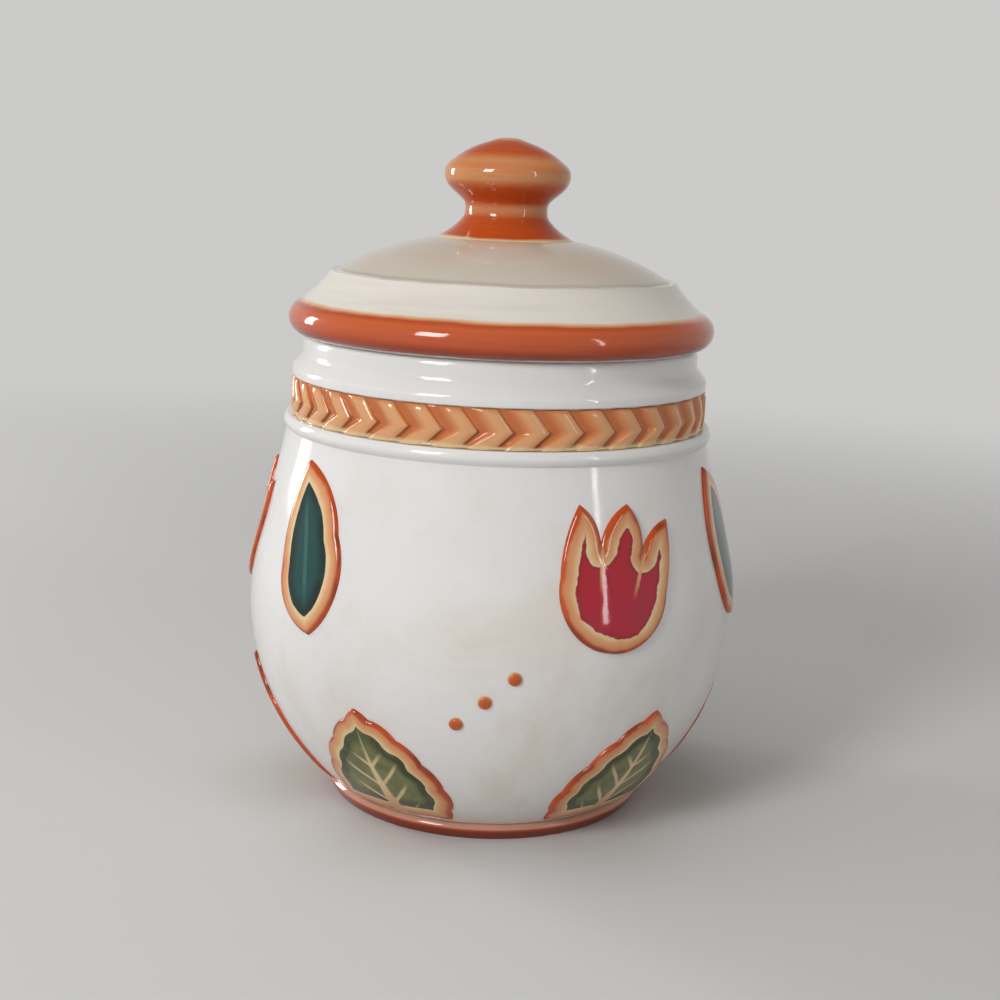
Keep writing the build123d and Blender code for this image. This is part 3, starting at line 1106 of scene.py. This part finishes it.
def bud_paint(tree):
    """Crimson bud with a torn brush edge, and pale lines from its notches that part three petals."""
    across, along, distance = paint_place(tree)
    fills = [(0.0, CRIMSON_DARK), (1.4, CRIMSON)]
    ground = bordered(tree, distance, fills, CRIMSON_ROSE, shake=4.0)
    parting = math(tree, "ADD", times(tree, along, petal_line_slope), petal_line_start)
    offset = math(tree, "SUBTRACT", math(tree, "ABSOLUTE", across), parting)
    shaken = hand_shaken(tree, offset, amount=0.06, scale=120.0)
    line = fine_line(tree, shaken, half_width=0.03)
    kept = within(tree, along, low=0.46, high=0.72, fade=0.1)
    return mix(tree, times(tree, line, kept), ground, TAN_LIGHT)


def long_leaf_paint(tree):
    """Teal leaf, near black at its edge, with a faint lighter midrib."""
    across, along, distance = paint_place(tree)
    fills = [(0.0, TEAL_DARK), (1.2, TEAL_DARK), (4.0, TEAL)]
    ground = bordered(tree, distance, fills, TEAL)
    swing = math(tree, "SINE", times(tree, along, pi))
    bend = times(tree, swing, long_rib_bend)
    rib = math(tree, "ADD", times(tree, along, long_rib_slope), bend)
    offset = math(tree, "SUBTRACT", across, rib)
    shaken = hand_shaken(tree, offset, amount=0.04, scale=90.0)
    line = fine_line(tree, shaken, half_width=0.05)
    kept = within(tree, along, low=0.24, high=0.72, fade=0.1)
    return mix(tree, times(tree, line, kept), ground, TEAL_LIGHT)


def base_leaf_paint(tree):
    """Green leaf, lighter inside its dark edge, with a straw midrib and side veins."""
    across, along, distance = paint_place(tree)
    fills = [(0.0, GREEN_DARK), (1.9, GREEN_DARK), (2.6, GREEN), (4.2, GREEN_LIGHT)]
    ground = bordered(tree, distance, fills, GREEN, shake=1.6)
    side = math(tree, "ABSOLUTE", across)
    left = math(tree, "SUBTRACT", base_rib_end, along)
    past_rib = math(tree, "SUBTRACT", side, times(tree, left, base_rib_taper))
    rib = fall(tree, hand_shaken(tree, past_rib, amount=0.10, scale=110.0), -0.03, 0.03)
    slant = math(tree, "SUBTRACT", along, times(tree, side, base_vein_slant))
    shaken = hand_shaken(tree, slant, amount=0.03, scale=120.0)
    row = math(tree, "FRACT", times(tree, shaken, base_vein_count))
    vein = fine_line(tree, math(tree, "SUBTRACT", row, 0.5), half_width=0.09)
    reach = fall(tree, side, 0.30, 0.50, top=0.85)
    kept = times(tree, reach, within(tree, along, low=0.24, high=0.66, fade=0.05))
    veined = mix(tree, times(tree, vein, kept), ground, STRAW)
    blush = mix(tree, fall(tree, along, 0.16, 0.46, top=0.8), STRAW, PEACH)
    return mix(tree, rib, veined, blush)


def dot_paint(tree):
    distance = hand_shaken(tree, paint_place(tree)[2], amount=0.6, scale=200.0)
    stops = [(0.0, TAN_LIGHT), (0.25 * dot_radius, ORANGE), (dot_radius, ORANGE_RED)]
    return ramp(tree, distance, stops)


paints = {
    "white": white_paint,
    "foot": foot_paint,
    "lid": lid_paint,
    "knob": knob_paint,
    "band": band_paint,
    "bud": bud_paint,
    "long_leaf": long_leaf_paint,
    "base_leaf": base_leaf_paint,
    "dot": dot_paint,
}
glazes = {name: glaze(name + "_glaze", paint) for name, paint in paints.items()}

# Pieces, with the body they ride on, the node they stand for and the record's slot
pieces = [
    (turned("pot", pot_profile(), glazes["white"]), "jar", "jar_body", "white_glaze"),
    (turned("foot", foot_profile(), glazes["foot"], True), "jar", "foot_ring", "terracotta_glaze"),
    (chevron_strip(glazes["band"]), "jar", "chevron_band", "ochre_glaze"),
    (buds(glazes["bud"]), "jar", "bud_sprigs", "crimson_glaze"),
    (long_leaves(glazes["long_leaf"]), "jar", "long_leaf_sprigs", "teal_glaze"),
    (base_leaves(glazes["base_leaf"]), "jar", "base_leaf_sprigs", "green_glaze"),
    (dots(glazes["dot"]), "jar", "dot_sprigs", "terracotta_glaze"),
    (turned("lid_shell", lid_profile(), glazes["lid"]), "lid", "lid_dome", "cream_glaze"),
    (turned("collar", collar_profile(), glazes["white"], True), "lid", "lid_collar", "white_glaze"),
    (turned("knob", knob_profile(), glazes["knob"]), "lid", "lid_knob", "terracotta_glaze"),
]
for piece, body, node, slot in pieces:
    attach(piece, body)
    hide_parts(node)


# Stage: a pale floor, soft lights and the camera, in metres
STAGE_PALE = (0.60, 0.595, 0.585, 1)
STAGE_DUSK = (0.15, 0.148, 0.145, 1)
ROOM_WHITE = (1.0, 0.99, 0.97, 1)
room_strength = 0.33
dusk_span = (0.12, 0.75)
floor_reach = 8.0
floor_fade = (0.22, 0.95)
light_aim = Vector((0, 0, 0.1))
camera_place = Vector((0.00176, -0.4545, 0.189))
camera_tilt = radians(12.20)
camera_roll = radians(2.43)


def backdrop_rays(tree):
    """Mask of the rays that see the backdrop: from the camera, or by way of gloss or glass."""
    path = add(tree, "ShaderNodeLightPath").outputs
    mirrored = math(tree, "MAXIMUM", path["Is Glossy Ray"], path["Is Transmission Ray"])
    return math(tree, "MAXIMUM", path["Is Camera Ray"], mirrored)


def pale_floor():
    """Floor that keeps the jar's shadow and runs out into the plain backdrop far from it."""
    signs = [(-1, -1), (1, -1), (1, 1), (-1, 1)]
    corners = [(x * floor_reach, y * floor_reach, 0) for x, y in signs]
    mesh = plain_mesh("floor", corners, [(0, 1, 2, 3)])
    material = bpy.data.materials.new("pale_floor")
    tree = cleared_tree(material)
    reach = add(tree, "ShaderNodeVectorMath", {0: object_coords(tree)}, operation="LENGTH")
    fade = spread(tree, reach.outputs["Value"], *floor_fade)
    far = times(tree, fade, backdrop_rays(tree))
    matt = add(tree, "ShaderNodeBsdfDiffuse", {"Color": STAGE_PALE})
    plain = add(tree, "ShaderNodeEmission", {"Color": STAGE_PALE})
    shader = add(tree, "ShaderNodeMixShader", {0: far, 1: matt, 2: plain})
    add(tree, "ShaderNodeOutputMaterial", {"Surface": shader})
    mesh.materials.append(material)
    placed("floor", mesh)


def soft_light(name, turn, height, distance, width, tall, power, mirrored=True):
    """Rectangular light at a turn round the jar, aimed at its middle and mirrored in gloss or not."""
    data = bpy.data.lights.new(name, "AREA")
    data.shape = "RECTANGLE"
    data.size, data.size_y = width, tall
    data.energy = power
    lamp = placed(name, data)
    lamp.location = (distance * sin(radians(turn)), -distance * cos(radians(turn)), height)
    lamp.rotation_euler = (light_aim - lamp.location).to_track_quat("-Z", "Y").to_euler()
    lamp.visible_glossy = mirrored


def pale_world():
    """Even light from all round; the camera and gloss see a backdrop that darkens overhead."""
    world = bpy.data.worlds.new("pale_world")
    tree = cleared_tree(world)
    room = add(tree, "ShaderNodeBackground", {"Color": ROOM_WHITE, "Strength": room_strength})
    towards = add(tree, "ShaderNodeTexCoord").outputs["Generated"]
    upward = add(tree, "ShaderNodeSeparateXYZ", {"Vector": towards}).outputs["Z"]
    backdrop = mix(tree, spread(tree, upward, *dusk_span), STAGE_PALE, STAGE_DUSK)
    plain = add(tree, "ShaderNodeBackground", {"Color": backdrop})
    shader = add(tree, "ShaderNodeMixShader", {0: backdrop_rays(tree), 1: room, 2: plain})
    add(tree, "ShaderNodeOutputWorld", {"Surface": shader})
    bpy.context.scene.world = world


def photo_camera():
    """Camera at the photograph's place: near, a little above, tilted down and slightly rolled."""
    data = bpy.data.cameras.new("photo_camera")
    data.sensor_width = 36.0
    data.lens = 54.0
    data.clip_start = 0.01
    camera = placed("photo_camera", data)
    turn = Matrix.Rotation(pi / 2 - camera_tilt, 4, "X") @ Matrix.Rotation(camera_roll, 4, "Z")
    camera.matrix_world = Matrix.Translation(camera_place) @ turn
    bpy.context.scene.camera = camera


pale_floor()
pale_world()
soft_light("window_left", turn=-118, height=0.25, distance=0.9, width=0.14, tall=0.34, power=2.6)
soft_light("window_front", turn=-37, height=0.62, distance=1.0, width=0.28, tall=0.42, power=6.4)
soft_light("window_right", turn=52, height=0.40, distance=1.1, width=0.05, tall=0.7, power=1.0)
soft_light(
    "overhead", turn=-60, height=1.4, distance=0.35, width=1.2, tall=1.2, power=4.5, mirrored=False
)
photo_camera()
bpy.context.scene.view_settings.view_transform = "Standard"
